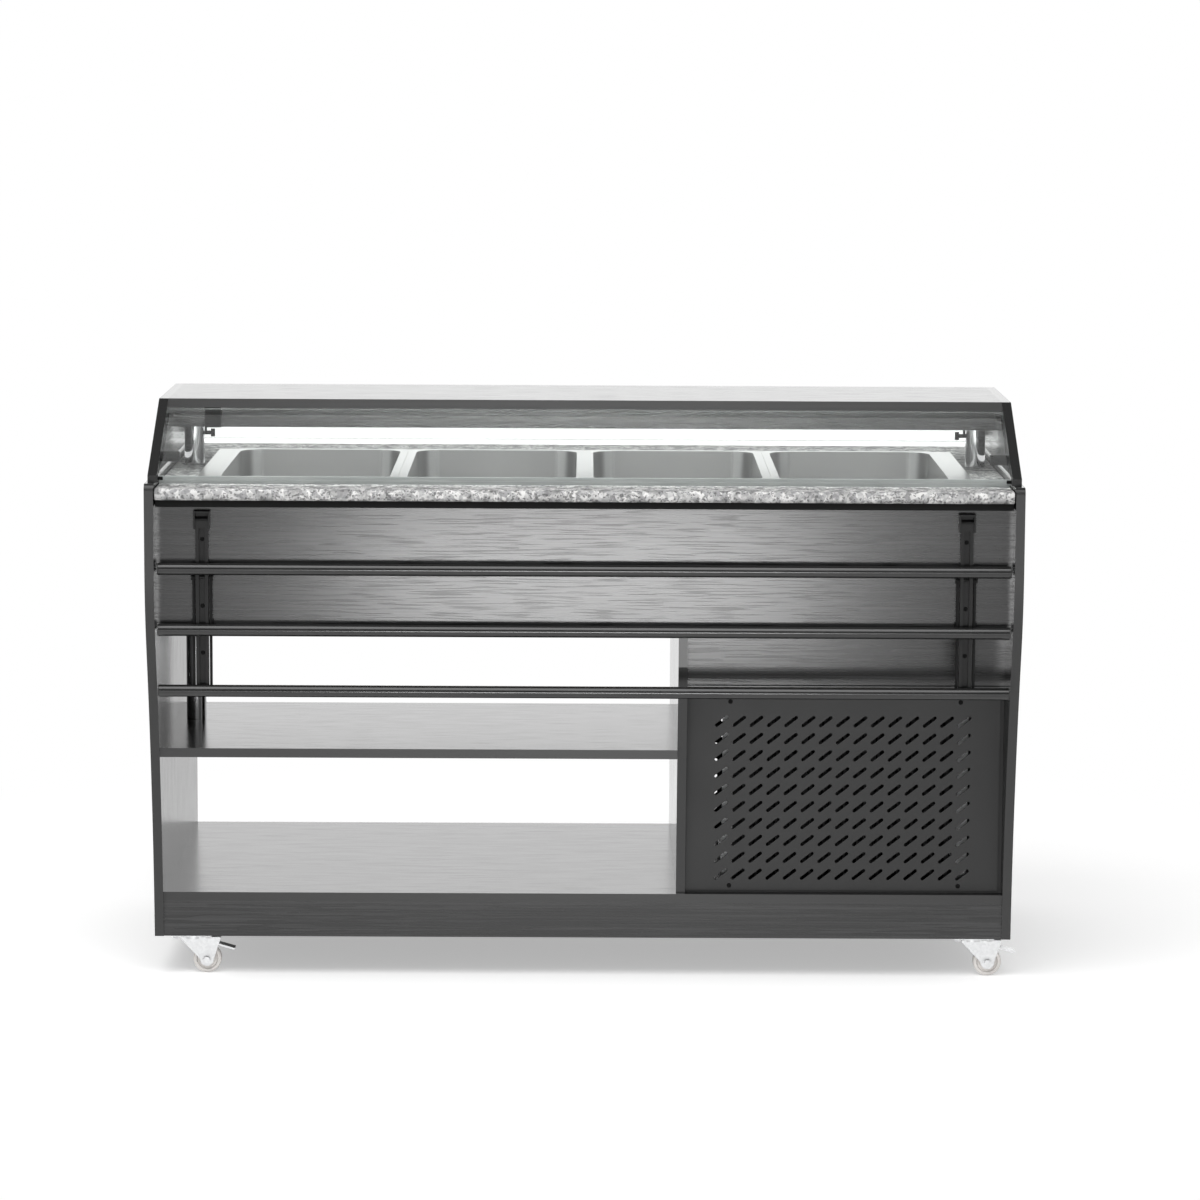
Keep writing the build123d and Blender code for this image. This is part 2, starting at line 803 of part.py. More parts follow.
grille_x = (compartment_x[0], inner_x - grille_side_gap)
grille_z = (floor_top + grille_foot_gap, grille_top)
grille_middle_x = (grille_x[0] + grille_x[1]) / 2
slot_centre_z = (grille_z[0] + grille_z[1]) / 2 - slot_shift
slot_room_x = grille_x[1] - grille_x[0] - 2 * slot_margin_x - slot_length
slot_room_z = grille_z[1] - grille_z[0] - 2 * slot_margin_z - slot_length
slot_columns = int(slot_room_x / slot_pitch_x) + 1
slot_rows = int(slot_room_z / slot_pitch_z) + 1
with BuildPart() as grille_front:
    block(grille_x, (grille_y, grille_y + grille_sheet), grille_z)
    with BuildSketch(Plane.XZ.offset(-grille_y)):
        with Locations((grille_middle_x, slot_centre_z)):
            with GridLocations(slot_pitch_x, slot_pitch_z, slot_columns, slot_rows):
                SlotOverall(slot_length, slot_width, rotation=slot_angle)
    extrude(amount=-grille_sheet, mode=Mode.SUBTRACT)
save(grille_front, "grille_front")

rear_grille_y = rear_apron_y - rear_grille_inset
with BuildPart() as grille_rear:
    block(compartment_x, (rear_grille_y - grille_sheet, rear_grille_y), (floor_top, apron_bottom))
    with BuildSketch(Plane.XZ.offset(-rear_grille_y)):
        with Locations((grille_middle_x, slot_centre_z)):
            with GridLocations(slot_pitch_x, slot_pitch_z, slot_columns, slot_rows):
                SlotOverall(slot_length, slot_width, rotation=slot_angle)
    extrude(amount=grille_sheet, mode=Mode.SUBTRACT)
save(grille_rear, "grille_rear")

# Condensing unit on its tray
unit_tray_x = (compartment_x[0] + unit_tray_left_gap, inner_x - unit_tray_right_gap)
condenser_y = grille_y + condenser_setback + condenser_depth
unit_tray_y = (condenser_y - condenser_depth, condenser_y - condenser_depth + unit_tray_depth)
tray_top = floor_top + unit_tray_sheet
with BuildPart() as unit_tray:
    block(unit_tray_x, unit_tray_y, (floor_top, tray_top))
    for lip_x in (unit_tray_x[0], unit_tray_x[1] - unit_tray_sheet):
        block((lip_x, lip_x + unit_tray_sheet), unit_tray_y, (tray_top, tray_top + unit_tray_lip))
save(unit_tray, "unit_tray")

condenser_left = unit_tray_x[0] + condenser_inset
condenser_x_range = (condenser_left, condenser_left + condenser_length)
condenser_x = condenser_left + condenser_length / 2
fin_count = int((condenser_length - fin_pitch) / fin_pitch)
with BuildPart() as condenser:
    block(
        condenser_x_range,
        (condenser_y - condenser_depth, condenser_y),
        (tray_top, tray_top + condenser_height),
    )
    with Locations((condenser_x, condenser_y - condenser_depth, tray_top + condenser_height / 2)):
        with GridLocations(fin_pitch, 1, fin_count, 1):
            Box(fin_cut, 2 * fin_cut_depth, condenser_height, mode=Mode.SUBTRACT)
save(condenser, "condenser")

fan_z = tray_top + condenser_height / 2
shroud_rear = condenser_y + shroud_depth
fan_front = condenser_y + (shroud_depth - fan_depth) / 2
motor_front = fan_front + fan_depth + fan_motor_gap
with BuildPart() as fan_shroud:
    block(condenser_x_range, (condenser_y, shroud_rear), (tray_top, tray_top + condenser_height))
    block(
        (condenser_x_range[0] + shroud_wall, condenser_x_range[1] - shroud_wall),
        (condenser_y, shroud_rear - shroud_wall),
        (tray_top + shroud_wall, tray_top + condenser_height - shroud_wall),
        mode=Mode.SUBTRACT,
    )
    rod((condenser_x, condenser_y, fan_z), (0, 1, 0), fan_radius + fan_tip_gap, shroud_depth,
        mode=Mode.SUBTRACT)
    arm_half = fan_radius + fan_tip_gap + motor_arm_overlap
    block(
        (condenser_x - arm_half, condenser_x + arm_half),
        (shroud_rear, shroud_rear + shroud_wall),
        (fan_z - motor_arm_width / 2, fan_z + motor_arm_width / 2),
    )
    rod((condenser_x, motor_front, fan_z), (0, 1, 0), motor_radius, motor_depth)
    rod((condenser_x, fan_front, fan_z), (0, 1, 0), fan_shaft_radius, motor_front - fan_front)
save(fan_shroud, "fan_shroud")

blade_length = fan_radius - fan_hub_radius / 2
with BuildPart() as fan_rotor:
    rod((condenser_x, fan_front, fan_z), (0, 1, 0), fan_hub_radius, fan_depth)
    fan_plane = Plane(origin=(condenser_x, fan_front + fan_depth / 2, fan_z), z_dir=(0, 1, 0))
    with Locations(fan_plane):
        with PolarLocations(fan_hub_radius / 2 + blade_length / 2, fan_blades):
            Box(blade_length, blade_chord, blade_thickness, rotation=(fan_pitch_angle, 0, 0))
    with Locations(fan_plane):
        Cylinder(fan_radius, fan_depth, mode=Mode.INTERSECT)
    rod((condenser_x, fan_front, fan_z), (0, 1, 0), fan_shaft_radius + running_clearance, fan_depth,
        mode=Mode.SUBTRACT)
save(fan_rotor, "fan_rotor")

compressor_x = unit_tray_x[1] - compressor_end_gap - compressor_radius
compressor_y = unit_tray_y[1] - compressor_rear_gap - compressor_radius
with BuildPart() as compressor:
    compressor_base = (compressor_x, compressor_y, tray_top + compressor_foot)
    rod(compressor_base, (0, 0, 1), compressor_radius, compressor_height)
    fillet(compressor.edges().filter_by(GeomType.CIRCLE).group_by(Axis.Z)[-1], compressor_dome)
    block(
        (compressor_x - compressor_radius, compressor_x + compressor_radius),
        (compressor_y - compressor_radius, compressor_y + compressor_radius),
        (tray_top, tray_top + compressor_foot),
    )
save(compressor, "compressor")

# Controls on the staff side
control_x = compartment_x[0] + control_inset + control_length / 2
control_z = apron_bottom - control_drop
with BuildPart() as control_panel:
    block(
        (control_x - control_length / 2, control_x + control_length / 2),
        (rear_grille_y, rear_grille_y + control_plate),
        (control_z - control_height / 2, control_z + control_height / 2),
    )
    knob_x = control_x + knob_offset
    rocker_x = control_x - rocker_offset
    face_y = rear_grille_y + control_plate
    rod((knob_x, face_y, control_z), (0, 1, 0), spindle_radius, spindle_depth)
    frame_x = rocker_length / 2 + rocker_play + rocker_frame
    frame_z = rocker_height / 2 + rocker_play + rocker_frame
    block(
        (rocker_x - frame_x, rocker_x + frame_x),
        (face_y, face_y + rocker_frame_depth),
        (control_z - frame_z, control_z + frame_z),
    )
    block(
        (rocker_x - rocker_length / 2 - rocker_play, rocker_x + rocker_length / 2 + rocker_play),
        (face_y, face_y + rocker_frame_depth),
        (control_z - rocker_height / 2 - rocker_play, control_z + rocker_height / 2 + rocker_play),
        mode=Mode.SUBTRACT,
    )
save(control_panel, "control_panel")

with BuildPart() as thermostat_knob:
    knob_base = (knob_x, face_y + rocker_play, control_z)
    rod(knob_base, (0, 1, 0), knob_radius, knob_height)
    fillet(thermostat_knob.edges().filter_by(GeomType.CIRCLE).group_by(Axis.Y)[-1], knob_edge)
    rod(knob_base, (0, 1, 0), spindle_radius + running_clearance, spindle_depth, mode=Mode.SUBTRACT)
save(thermostat_knob, "thermostat_knob")

with BuildPart() as power_rocker:
    rocker_base = face_y + rocker_base_gap
    rocker_half = rocker_height / 2
    with BuildSketch(Plane.YZ.offset(rocker_x - rocker_length / 2)):
        with BuildLine():
            Polyline(
                (rocker_base, control_z - rocker_root / 2),
                (rocker_base + rocker_depth / 2, control_z - rocker_half),
                (rocker_base + rocker_waist, control_z - rocker_half),
                (rocker_base + rocker_waist, control_z),
                (rocker_base + rocker_depth, control_z + rocker_half),
                (rocker_base + rocker_depth / 2, control_z + rocker_half),
                (rocker_base, control_z + rocker_root / 2),
                close=True,
            )
        make_face()
    extrude(amount=rocker_length)
save(power_rocker, "power_rocker")

with BuildPart() as cord_inlet:
    inlet_x = inner_x - inlet_inset
    inlet_x_range = (inlet_x - inlet_length / 2, inlet_x + inlet_length / 2)
    inlet_z_range = (control_z - inlet_height / 2, control_z + inlet_height / 2)
    block(inlet_x_range, (rear_grille_y, rear_grille_y + inlet_depth), inlet_z_range)
    block(
        (inlet_x_range[0] + inlet_wall, inlet_x_range[1] - inlet_wall),
        (rear_grille_y + inlet_wall, rear_grille_y + inlet_depth),
        (inlet_z_range[0] + inlet_wall, inlet_z_range[1] - inlet_wall),
        mode=Mode.SUBTRACT,
    )
save(cord_inlet, "cord_inlet")

# Castors: fixed plates, swivelling forks, wheels and the two front brake pedals
castor_x = inner_x - castor_inset
castor_front_y = floor_front + castor_front_gap
castor_rear_y = floor_rear - castor_rear_gap
castor_spots = {
    "front_left": (-castor_x, castor_front_y),
    "front_right": (castor_x, castor_front_y),
    "rear_left": (-castor_x, castor_rear_y),
    "rear_right": (castor_x, castor_rear_y),
}
plate_bottom = castor_height - plate_sheet
raceway_bottom = plate_bottom - raceway_height
fork_top_bottom = raceway_bottom - fork_top_sheet
with BuildPart() as castor_plates:
    for spot_x, spot_y in castor_spots.values():
        with Locations((spot_x, spot_y, plate_bottom + plate_sheet / 2)):
            Box(plate_length, plate_width, plate_sheet)
        rod((spot_x, spot_y, raceway_bottom), (0, 0, 1), raceway_radius, raceway_height)
        rod((spot_x, spot_y, fork_top_bottom), (0, 0, 1), kingpin_radius, fork_top_sheet)
save(castor_plates, "castor_plates")

cheek_face = wheel_width / 2 + fork_wheel_gap
pedal_slope = math.degrees(math.atan2(pedal_drop, pedal_reach))
pedal_length = math.hypot(pedal_reach, pedal_drop)
pedal_half = cheek_face - pedal_side_gap
pedal_pivot_z = wheel_top + pedal_wheel_gap
for spot, (spot_x, spot_y) in castor_spots.items():
    axle_x = spot_x + castor_trail
    pedal_x = spot_x + pedal_pivot_x
    braked = spot.startswith("front")
    with BuildPart() as fork:
        rod((spot_x, spot_y, fork_top_bottom), (0, 0, 1), fork_top_radius, fork_top_sheet)
        block(
            (spot_x - fork_back, axle_x + fork_nose),
            (spot_y - cheek_face - fork_sheet, spot_y + cheek_face + fork_sheet),
            (fork_top_bottom, raceway_bottom),
        )
        rod((spot_x, spot_y, fork_top_bottom), (0, 0, 1), kingpin_radius + running_clearance,
            fork_top_sheet, mode=Mode.SUBTRACT)
        for flank in (-1, 1):
            cheek_y = spot_y + min(flank * cheek_face, flank * (cheek_face + fork_sheet))
            with BuildSketch(Plane.XZ.offset(-cheek_y)):
                with BuildLine():
                    Polyline(
                        (spot_x - fork_back, fork_top_bottom),
                        (axle_x + fork_nose, fork_top_bottom),
                        (axle_x + fork_eye_radius, wheel_radius),
                        (axle_x - fork_eye_radius, wheel_radius),
                        close=True,
                    )
                make_face()
                with Locations((axle_x, wheel_radius)):
                    Circle(fork_eye_radius)
            extrude(amount=-fork_sheet)
        rod((axle_x, spot_y - cheek_face, wheel_radius), (0, 1, 0), axle_radius, 2 * cheek_face)
        if braked:
            rod((pedal_x, spot_y - cheek_face, pedal_pivot_z), (0, 1, 0), pedal_pin_radius,
                2 * cheek_face)
    save(fork, f"castor_fork_{spot}")

    with BuildPart() as wheel:
        rod((axle_x, spot_y - wheel_width / 2, wheel_radius), (0, 1, 0), wheel_radius, wheel_width)
        fillet(wheel.edges().filter_by(GeomType.CIRCLE), wheel_edge)
        rod((axle_x, spot_y - wheel_width / 2, wheel_radius), (0, 1, 0),
            axle_radius + running_clearance, wheel_width, mode=Mode.SUBTRACT)
    save(wheel, f"castor_wheel_{spot}")

    if braked:
        with BuildPart() as pedal:
            with BuildSketch(Plane.XZ.offset(-(spot_y - pedal_half))):
                with Locations((pedal_x, pedal_pivot_z)):
                    Circle(pedal_barrel_radius)
                    Rectangle(pedal_length, pedal_sheet, rotation=-pedal_slope,
                              align=(Align.MIN, Align.CENTER))
                    Circle(pedal_pin_radius + running_clearance, mode=Mode.SUBTRACT)
            extrude(amount=-2 * pedal_half)
        save(pedal, f"brake_pedal_{spot}")
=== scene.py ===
import math

import bmesh
import bpy
from mathutils import Matrix, Vector


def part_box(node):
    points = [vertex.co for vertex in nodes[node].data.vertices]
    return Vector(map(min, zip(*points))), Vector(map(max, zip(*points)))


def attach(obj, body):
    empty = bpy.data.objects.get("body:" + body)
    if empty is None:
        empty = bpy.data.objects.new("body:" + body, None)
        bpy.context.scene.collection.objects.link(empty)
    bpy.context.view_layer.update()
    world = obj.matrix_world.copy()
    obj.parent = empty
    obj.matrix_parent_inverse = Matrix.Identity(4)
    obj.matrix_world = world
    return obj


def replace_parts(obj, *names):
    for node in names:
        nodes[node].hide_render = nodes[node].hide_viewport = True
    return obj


# Salad bar: finishes, small hardware, camera and light. Metres, +Z up, -Y the customer side.

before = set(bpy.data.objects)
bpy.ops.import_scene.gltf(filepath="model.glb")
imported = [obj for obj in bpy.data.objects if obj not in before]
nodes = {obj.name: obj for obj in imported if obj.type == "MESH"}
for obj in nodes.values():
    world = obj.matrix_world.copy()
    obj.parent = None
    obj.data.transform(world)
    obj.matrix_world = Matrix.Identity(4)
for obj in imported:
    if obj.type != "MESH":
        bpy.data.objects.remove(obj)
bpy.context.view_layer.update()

MM = 0.001


class Value:
    """A shader socket that can be used in Python sums."""

    def __init__(self, finish, socket):
        self.finish = finish
        self.socket = socket

    def __add__(self, other):
        return self.finish.math("ADD", self, other)

    def __radd__(self, other):
        return self.finish.math("ADD", other, self)

    def __sub__(self, other):
        return self.finish.math("SUBTRACT", self, other)

    def __rsub__(self, other):
        return self.finish.math("SUBTRACT", other, self)

    def __mul__(self, other):
        return self.finish.math("MULTIPLY", self, other)

    def __rmul__(self, other):
        return self.finish.math("MULTIPLY", other, self)

    def __abs__(self):
        return self.finish.math("ABSOLUTE", self)


class Finish:
    """A node tree under construction, for a material or the world."""

    def __init__(self, tree):
        self.tree = tree
        self.tree.nodes.clear()

    def node(self, kind, settings=None, sockets=None, output=0):
        made = self.tree.nodes.new(kind)
        for name, value in (settings or {}).items():
            if name == "stops":
                ramp = made.color_ramp
                while len(ramp.elements) < len(value):
                    ramp.elements.new(1.0)
                for element, (position, colour) in zip(ramp.elements, value):
                    element.position = position
                    element.color = (*colour, 1.0)
            else:
                setattr(made, name, value)
        for name, value in (sockets or {}).items():
            if isinstance(value, Value):
                self.tree.links.new(value.socket, made.inputs[name])
            else:
                made.inputs[name].default_value = value
        return Value(self, made.outputs[output]) if made.outputs else None

    def math(self, operation, a, b=0.0):
        return self.node("ShaderNodeMath", {"operation": operation}, {0: a, 1: b})

    def place(self, scale=(1.0, 1.0, 1.0), wander=0.0, wander_scale=3.0):
        """Object coordinates, wandering by a slow noise and then scaled along each axis."""
        point = self.node("ShaderNodeTexCoord", output="Object")
        if wander:
            drift = self.node("ShaderNodeTexNoise", None, {"Vector": point, "Scale": wander_scale},
                              output="Color")
            point = self.node("ShaderNodeVectorMath", {"operation": "MULTIPLY_ADD"},
                              {0: drift, 1: (wander, wander, wander), 2: point})
        return self.node("ShaderNodeMapping", None, {"Vector": point, "Scale": scale})

    def noise(self, point, scale, detail=3.0, roughness=0.5):
        return self.node("ShaderNodeTexNoise", None,
                         {"Vector": point, "Scale": scale, "Detail": detail, "Roughness": roughness})

    def cells(self, point, scale, channel):
        """A level of its own for each grain, from one channel of a cell pattern's colour."""
        colour = self.node("ShaderNodeTexVoronoi", None, {"Vector": point, "Scale": scale},
                           output="Color")
        return self.node("ShaderNodeSeparateColor", None, {"Color": colour}, output=channel)

    def band(self, value, low, high):
        """0 below low, 1 above high, smooth between."""
        return self.node("ShaderNodeMapRange", {"interpolation_type": "SMOOTHSTEP"},
                         {"Value": value, "From Min": low, "From Max": high})

    def mix(self, factor, a, b):
        return self.node("ShaderNodeMix", {"data_type": "RGBA"}, {0: factor, 6: a, 7: b}, output=2)

    def ramp(self, value, stops):
        return self.node("ShaderNodeValToRGB", {"stops": stops}, {"Fac": value})

    def side(self, axis):
        """How squarely the surface faces along an axis, 0 to 1."""
        facing = self.node("ShaderNodeTexCoord", output="Normal")
        split = self.node("ShaderNodeSeparateXYZ", None, {"Vector": facing}, output="XYZ".index(axis))
        return abs(split)

    def bump(self, height, strength, distance):
        return self.node("ShaderNodeBump", None,
                         {"Height": height, "Strength": strength, "Distance": distance})

    def rays(self):
        """1 or 0 for each kind of ray: camera, glossy, transmission."""
        return [self.node("ShaderNodeLightPath", output=f"Is {kind} Ray")
                for kind in ("Camera", "Glossy", "Transmission")]

    def shine(self, **sockets):
        """A Principled shader; names use underscores for spaces."""
        named = {name.replace("_", " "): value for name, value in sockets.items()}
        return self.node("ShaderNodeBsdfPrincipled", None, named)

    def close(self, surface, kind="ShaderNodeOutputMaterial"):
        self.node(kind, None, {"Surface": surface})


def start_material(name):
    material = bpy.data.materials.new(name)
    material.use_nodes = True
    return material, Finish(material.node_tree)


def grey(level, warmth=0.0):
    return (level * (1 + warmth), level, level * (1 - warmth), 1.0)


# Finishes

def laminate(name, grain, face, rough=0.20):
    """Dark grey satin board: fine pores and soft streaks along the grain; plain edges in a darker grey, a
    painted shade; dull in front.
    """
    material, f = start_material(name)
    pore = [14.0 if axis == grain else 420.0 for axis in "XYZ"]
    streak = [2.5 if axis == grain else 240.0 for axis in "XYZ"]
    pores = f.noise(f.place(pore, wander=0.003, wander_scale=1.2), 1.0, detail=0.0)
    streaks = f.noise(f.place(streak, wander=0.003, wander_scale=1.2), 1.0, detail=2.0)
    board_face = f.band(f.side(face), 0.6, 0.8)
    front_edge = f.band(f.side("Y"), 0.6, 0.8) * (1.0 - board_face)
    lines = f.band(pores, 0.52, 0.66) * board_face
    tone = f.ramp(streaks, [(0.35, (0.014, 0.014, 0.0143)), (0.65, (0.032, 0.032, 0.0325))])
    tone = f.mix(lines * 0.85, tone, grey(0.006))
    # Painted shade: the edges take a plain grey, darker than the faces.
    tone = f.mix(board_face, grey(0.014), tone)
    sheen = rough + (streaks - 0.5) * 0.025 + lines * 0.045 + front_edge * 0.20
    f.close(f.shine(Base_Color=tone, Roughness=sheen, Normal=f.bump(lines, -0.03, 0.0002), IOR=1.55))
    return material


def granite():
    """Honed grey granite: pale and mid grey grains, dark clusters, veins and scattered mica."""
    material, f = start_material("granite_honed")
    point = f.place(wander=0.008, wander_scale=60.0)
    grains = f.cells(point, 150.0, 0)
    small = f.cells(point, 330.0, 1)
    drift = f.noise(f.place(), 26.0, detail=5.0, roughness=0.65)
    dust = f.noise(f.place(), 900.0, detail=1.0)
    body = f.ramp(grains * 0.55 + drift * 0.45,
                  [(0.15, (0.24, 0.24, 0.245)), (0.42, (0.44, 0.44, 0.44)),
                   (0.62, (0.62, 0.617, 0.61)), (0.9, (0.80, 0.795, 0.78))])
    mica = f.band(small + drift * 0.6, 1.06, 1.14)
    veins = f.band(f.noise(f.place(wander=0.02, wander_scale=40.0), 75.0, detail=4.0), 0.58, 0.68)
    clusters = f.band(f.noise(f.place(), 42.0, detail=3.0, roughness=0.6), 0.49, 0.58)
    # Painted highlight: dark clusters are fainter on the upright faces, so the front edge reads paler than
    # the top.
    tone = f.mix(clusters * (0.34 + 0.40 * f.side("Z")), body, grey(0.15))
    tone = f.mix(veins * 0.6, tone, grey(0.16))
    tone = f.mix(mica * 0.65, tone, grey(0.06))
    tone = f.mix(f.band(dust, 0.58, 0.75) * 0.3, tone, grey(0.72))
    f.close(f.shine(Base_Color=tone, Roughness=0.28 + mica * 0.10, IOR=1.02,
                    Normal=f.bump(dust, 0.03, 0.0003)))
    return material


def brushed_well():
    """Satin stainless sheet of the well, finely brushed along its length."""
    material, f = start_material("stainless_well")
    lines = f.noise(f.place((6.0, 900.0, 900.0)), 1.0, detail=2.0)
    cloud = f.noise(f.place(), 9.0, detail=3.0)
    tone = f.ramp(cloud, [(0.3, (0.6204, 0.6204, 0.6204)), (0.7, (0.66, 0.66, 0.6501))])
    f.close(f.shine(Base_Color=tone, Metallic=1.0, Roughness=0.24 + lines * 0.10 + cloud * 0.05,
                    Normal=f.bump(lines, 0.05, 0.0002)))
    return material


def drawn_pan():
    """Deep-drawn stainless: satin walls, with a painted highlight near the corners of the front and back
    walls, and softer gloss there.
    """
    material, f = start_material("stainless_pan")
    cloud = f.noise(f.place(), 7.0, detail=3.0)
    rub = f.noise(f.place((300.0, 300.0, 12.0)), 1.0, detail=2.0)
    turn = f.side("X")
    # Painted highlight: a band near each corner of the walls facing front and back, raised to white in
    # colour, for light reflected from the sides.
    corner = f.band(turn, 0.04, 0.20) * (1.0 - f.band(turn, 0.42, 0.70)) * f.band(f.side("Y"), 0.5, 0.7)
    walls = f.ramp(cloud, [(0.3, (0.60, 0.60, 0.60)), (0.7, (0.66, 0.66, 0.655))])
    tone = f.mix(corner, walls, grey(1.0))
    f.close(f.shine(Base_Color=tone, Metallic=1.0,
                    Roughness=0.26 + rub * 0.06 + cloud * 0.04 + corner * 0.44))
    return material


def chrome():
    """Polished chrome tube with faint wipe marks."""
    material, f = start_material("chrome_polished")
    wipes = f.noise(f.place((120.0, 120.0, 14.0)), 1.0, detail=3.0)
    tone = f.ramp(wipes, [(0.2, (0.60, 0.605, 0.615)), (0.8, (0.70, 0.70, 0.71))])
    f.close(f.shine(Base_Color=tone, Metallic=1.0, Roughness=0.045 + wipes * 0.06))
    return material


def clear_glass():
    """Float glass with green ends and ground long edges; it lets the lamps through."""
    material, f = start_material("float_glass")
    end_face = f.band(f.side("X"), 0.7, 0.9)
    ground = f.band(f.side("Y"), 0.6, 0.8)
    tone = f.mix(end_face, (0.965, 0.98, 0.972, 1.0), (0.55, 0.78, 0.70, 1.0))
    tone = f.mix(ground, tone, (0.50, 0.55, 0.53, 1.0))
    body = f.shine(Base_Color=tone, Roughness=ground * 0.9, IOR=1.5, Transmission_Weight=1.0)
    lamp = f.node("ShaderNodeLightPath", output="Is Shadow Ray")
    open_way = f.node("ShaderNodeBsdfTransparent", None, {"Color": (0.95, 0.97, 0.96, 1.0)})
    f.close(f.node("ShaderNodeMixShader", None, {0: lamp, 1: body, 2: open_way}))
    return material


def clear_seal():
    """Clear flexible strip on the lower edge of the front pane, gone a little cloudy."""
    material, f = start_material("clear_seal")
    cloud = f.noise(f.place((9.0, 90.0, 90.0)), 1.0, detail=3.0)
    tone = f.ramp(cloud, [(0.3, (0.46, 0.49, 0.48)), (0.7, (0.56, 0.59, 0.58))])
    f.close(f.shine(Base_Color=tone, Roughness=0.30 + cloud * 0.1, Alpha=0.75))
    return material


def coated(name, level, rough, peel, warmth=0.0, coat=0.0, ior=1.5):
    """Painted or moulded surface with orange peel, dust and a little wear in its gloss."""
    material, f = start_material(name)
    skin = f.noise(f.place(), 420.0, detail=2.0)
    cloud = f.noise(f.place(), 14.0, detail=4.0)
    dust = f.band(f.noise(f.place(), 1500.0, detail=1.0), 0.66, 0.78)
    low = grey(level * 0.85, warmth)[:3]
    high = grey(level * 1.15, warmth)[:3]
    tone = f.mix(dust * 0.10, f.ramp(cloud, [(0.3, low), (0.7, high)]), grey(min(1.0, level + 0.15)))
    f.close(f.shine(Base_Color=tone, Roughness=rough + cloud * 0.10 + dust * 0.05,
                    Coat_Weight=coat, Coat_Roughness=0.12, IOR=ior,
                    Normal=f.bump(skin, peel, 0.0003)))
    return material


def zinc():
    """Bright zinc plate with its faint spangle."""
    material, f = start_material("zinc_plate")
    spangle = f.cells(f.place(), 260.0, 0)
    cloud = f.noise(f.place(), 60.0, detail=3.0)
    tone = f.ramp(spangle * 0.6 + cloud * 0.4, [(0.2, (0.60, 0.605, 0.61)), (0.8, (0.68, 0.685, 0.69))])
    f.close(f.shine(Base_Color=tone, Metallic=1.0, Roughness=0.36 + cloud * 0.10,
                    Normal=f.bump(cloud, 0.05, 0.0003)))
    return material


def copper():
    """Soft copper tube, slightly tarnished."""
    material, f = start_material("copper_tube")
    cloud = f.noise(f.place(), 35.0, detail=4.0)
    tone = f.ramp(cloud, [(0.3, (0.36, 0.17, 0.10)), (0.7, (0.70, 0.38, 0.26))])
    f.close(f.shine(Base_Color=tone, Metallic=1.0, Roughness=0.30 + cloud * 0.2))
    return material


def opal():
    """Opal lamp cover with fine ribs along its length."""
    material, f = start_material("opal_cover")
    ribs = f.noise(f.place((2.0, 900.0, 900.0)), 1.0, detail=1.0)
    tone = f.ramp(ribs, [(0.3, (0.80, 0.80, 0.78)), (0.7, (0.88, 0.88, 0.86))])
    f.close(f.shine(Base_Color=tone, Roughness=0.38 + ribs * 0.1, Normal=f.bump(ribs, 0.1, 0.0003)))
    return material


upright_board = laminate("laminate_upright_board", "X", "Y")
shelf_board = laminate("laminate_shelf_board", "X", "Z", 0.205)
hood_end_board = laminate("laminate_hood_end", "Y", "X")
side_board = laminate("laminate_side_board", "Z", "X")
divider_board = laminate("laminate_divider", "Z", "X", 0.10)
granite_top = granite()
well_steel = brushed_well()
pan_steel = drawn_pan()
chrome_tube = chrome()
glass_pane = clear_glass()
seal_strip = clear_seal()
zinc_plate = zinc()
copper_tube = copper()
lamp_cover = opal()
black_metal = coated("black_enamel", 0.012, 0.16, 0.04, coat=0.3)
grille_metal = coated("black_powder_coat", 0.010, 0.46, 0.10)
black_plastic = coated("black_moulded", 0.016, 0.36, 0.12)
arm_black = coated("black_satin", 0.008, 0.36, 0.06, ior=1.32)
stay_black = coated("black_stay", 0.003, 0.60, 0.06, ior=1.32)
fitting_black = coated("black_matt_fitting", 0.004, 0.62, 0.12, ior=1.25)
black_rubber = coated("black_rubber", 0.014, 0.55, 0.18)
batten_black = coated("black_batten", 0.006, 0.70, 0.10, ior=1.25)
# Painted shade: the condenser's fins are near-black, standing in for the dark compartment seen through the
# grille's slots.
fins_black_as_shade = coated("fins_painted_shade_black", 0.010, 0.45, 0.10)
nylon = coated("cream_nylon", 0.74, 0.38, 0.06, warmth=0.04)
foam = coated("rigid_foam", 0.62, 0.80, 0.30, warmth=0.10)
drain_grey = coated("grey_pipe", 0.25, 0.42, 0.05)
dial_white = coated("printed_white", 0.70, 0.50, 0.05)

node_finish = {
    "worktop": granite_top,
    "worktop_battens": batten_black,
    "well_basin": well_steel,
    "pan_bars": well_steel,
    "well_foam": foam,
    "evaporator_tube": copper_tube,
    "drain_pipe": drain_grey,
    "post_tubes": chrome_tube,
    "hood_tubes": chrome_tube,
    "hood_glass_front": glass_pane,
    "hood_glass_rear": glass_pane,
    "hood_fittings": fitting_black,
    "hood_buffers": black_rubber,
    "light_bar": lamp_cover,
    "tray_arms": arm_black,
    "tray_brackets": arm_black,
    "tray_stays": stay_black,
    "grille_front": grille_metal,
    "grille_rear": grille_metal,
    "condenser": fins_black_as_shade,
    "fan_shroud": grille_metal,
    "compressor": black_metal,
    "unit_tray": zinc_plate,
    "castor_plates": zinc_plate,
    "side_panel_left": side_board,
    "side_panel_right": side_board,
    "divider": divider_board,
    "mid_shelf": shelf_board,
    "bottom_board": shelf_board,
    "hood_top": shelf_board,
    "post_ledge": shelf_board,
    "hood_side_left": hood_end_board,
    "hood_side_right": hood_end_board,
}
first_word_finish = {
    "pan": pan_steel,
    "tray": black_metal,
    "castor": zinc_plate,
    "brake": zinc_plate,
    "clamp": fitting_black,
    "fan": black_plastic,
    "control": black_plastic,
    "thermostat": black_plastic,
    "power": black_plastic,
    "cord": black_plastic,
}
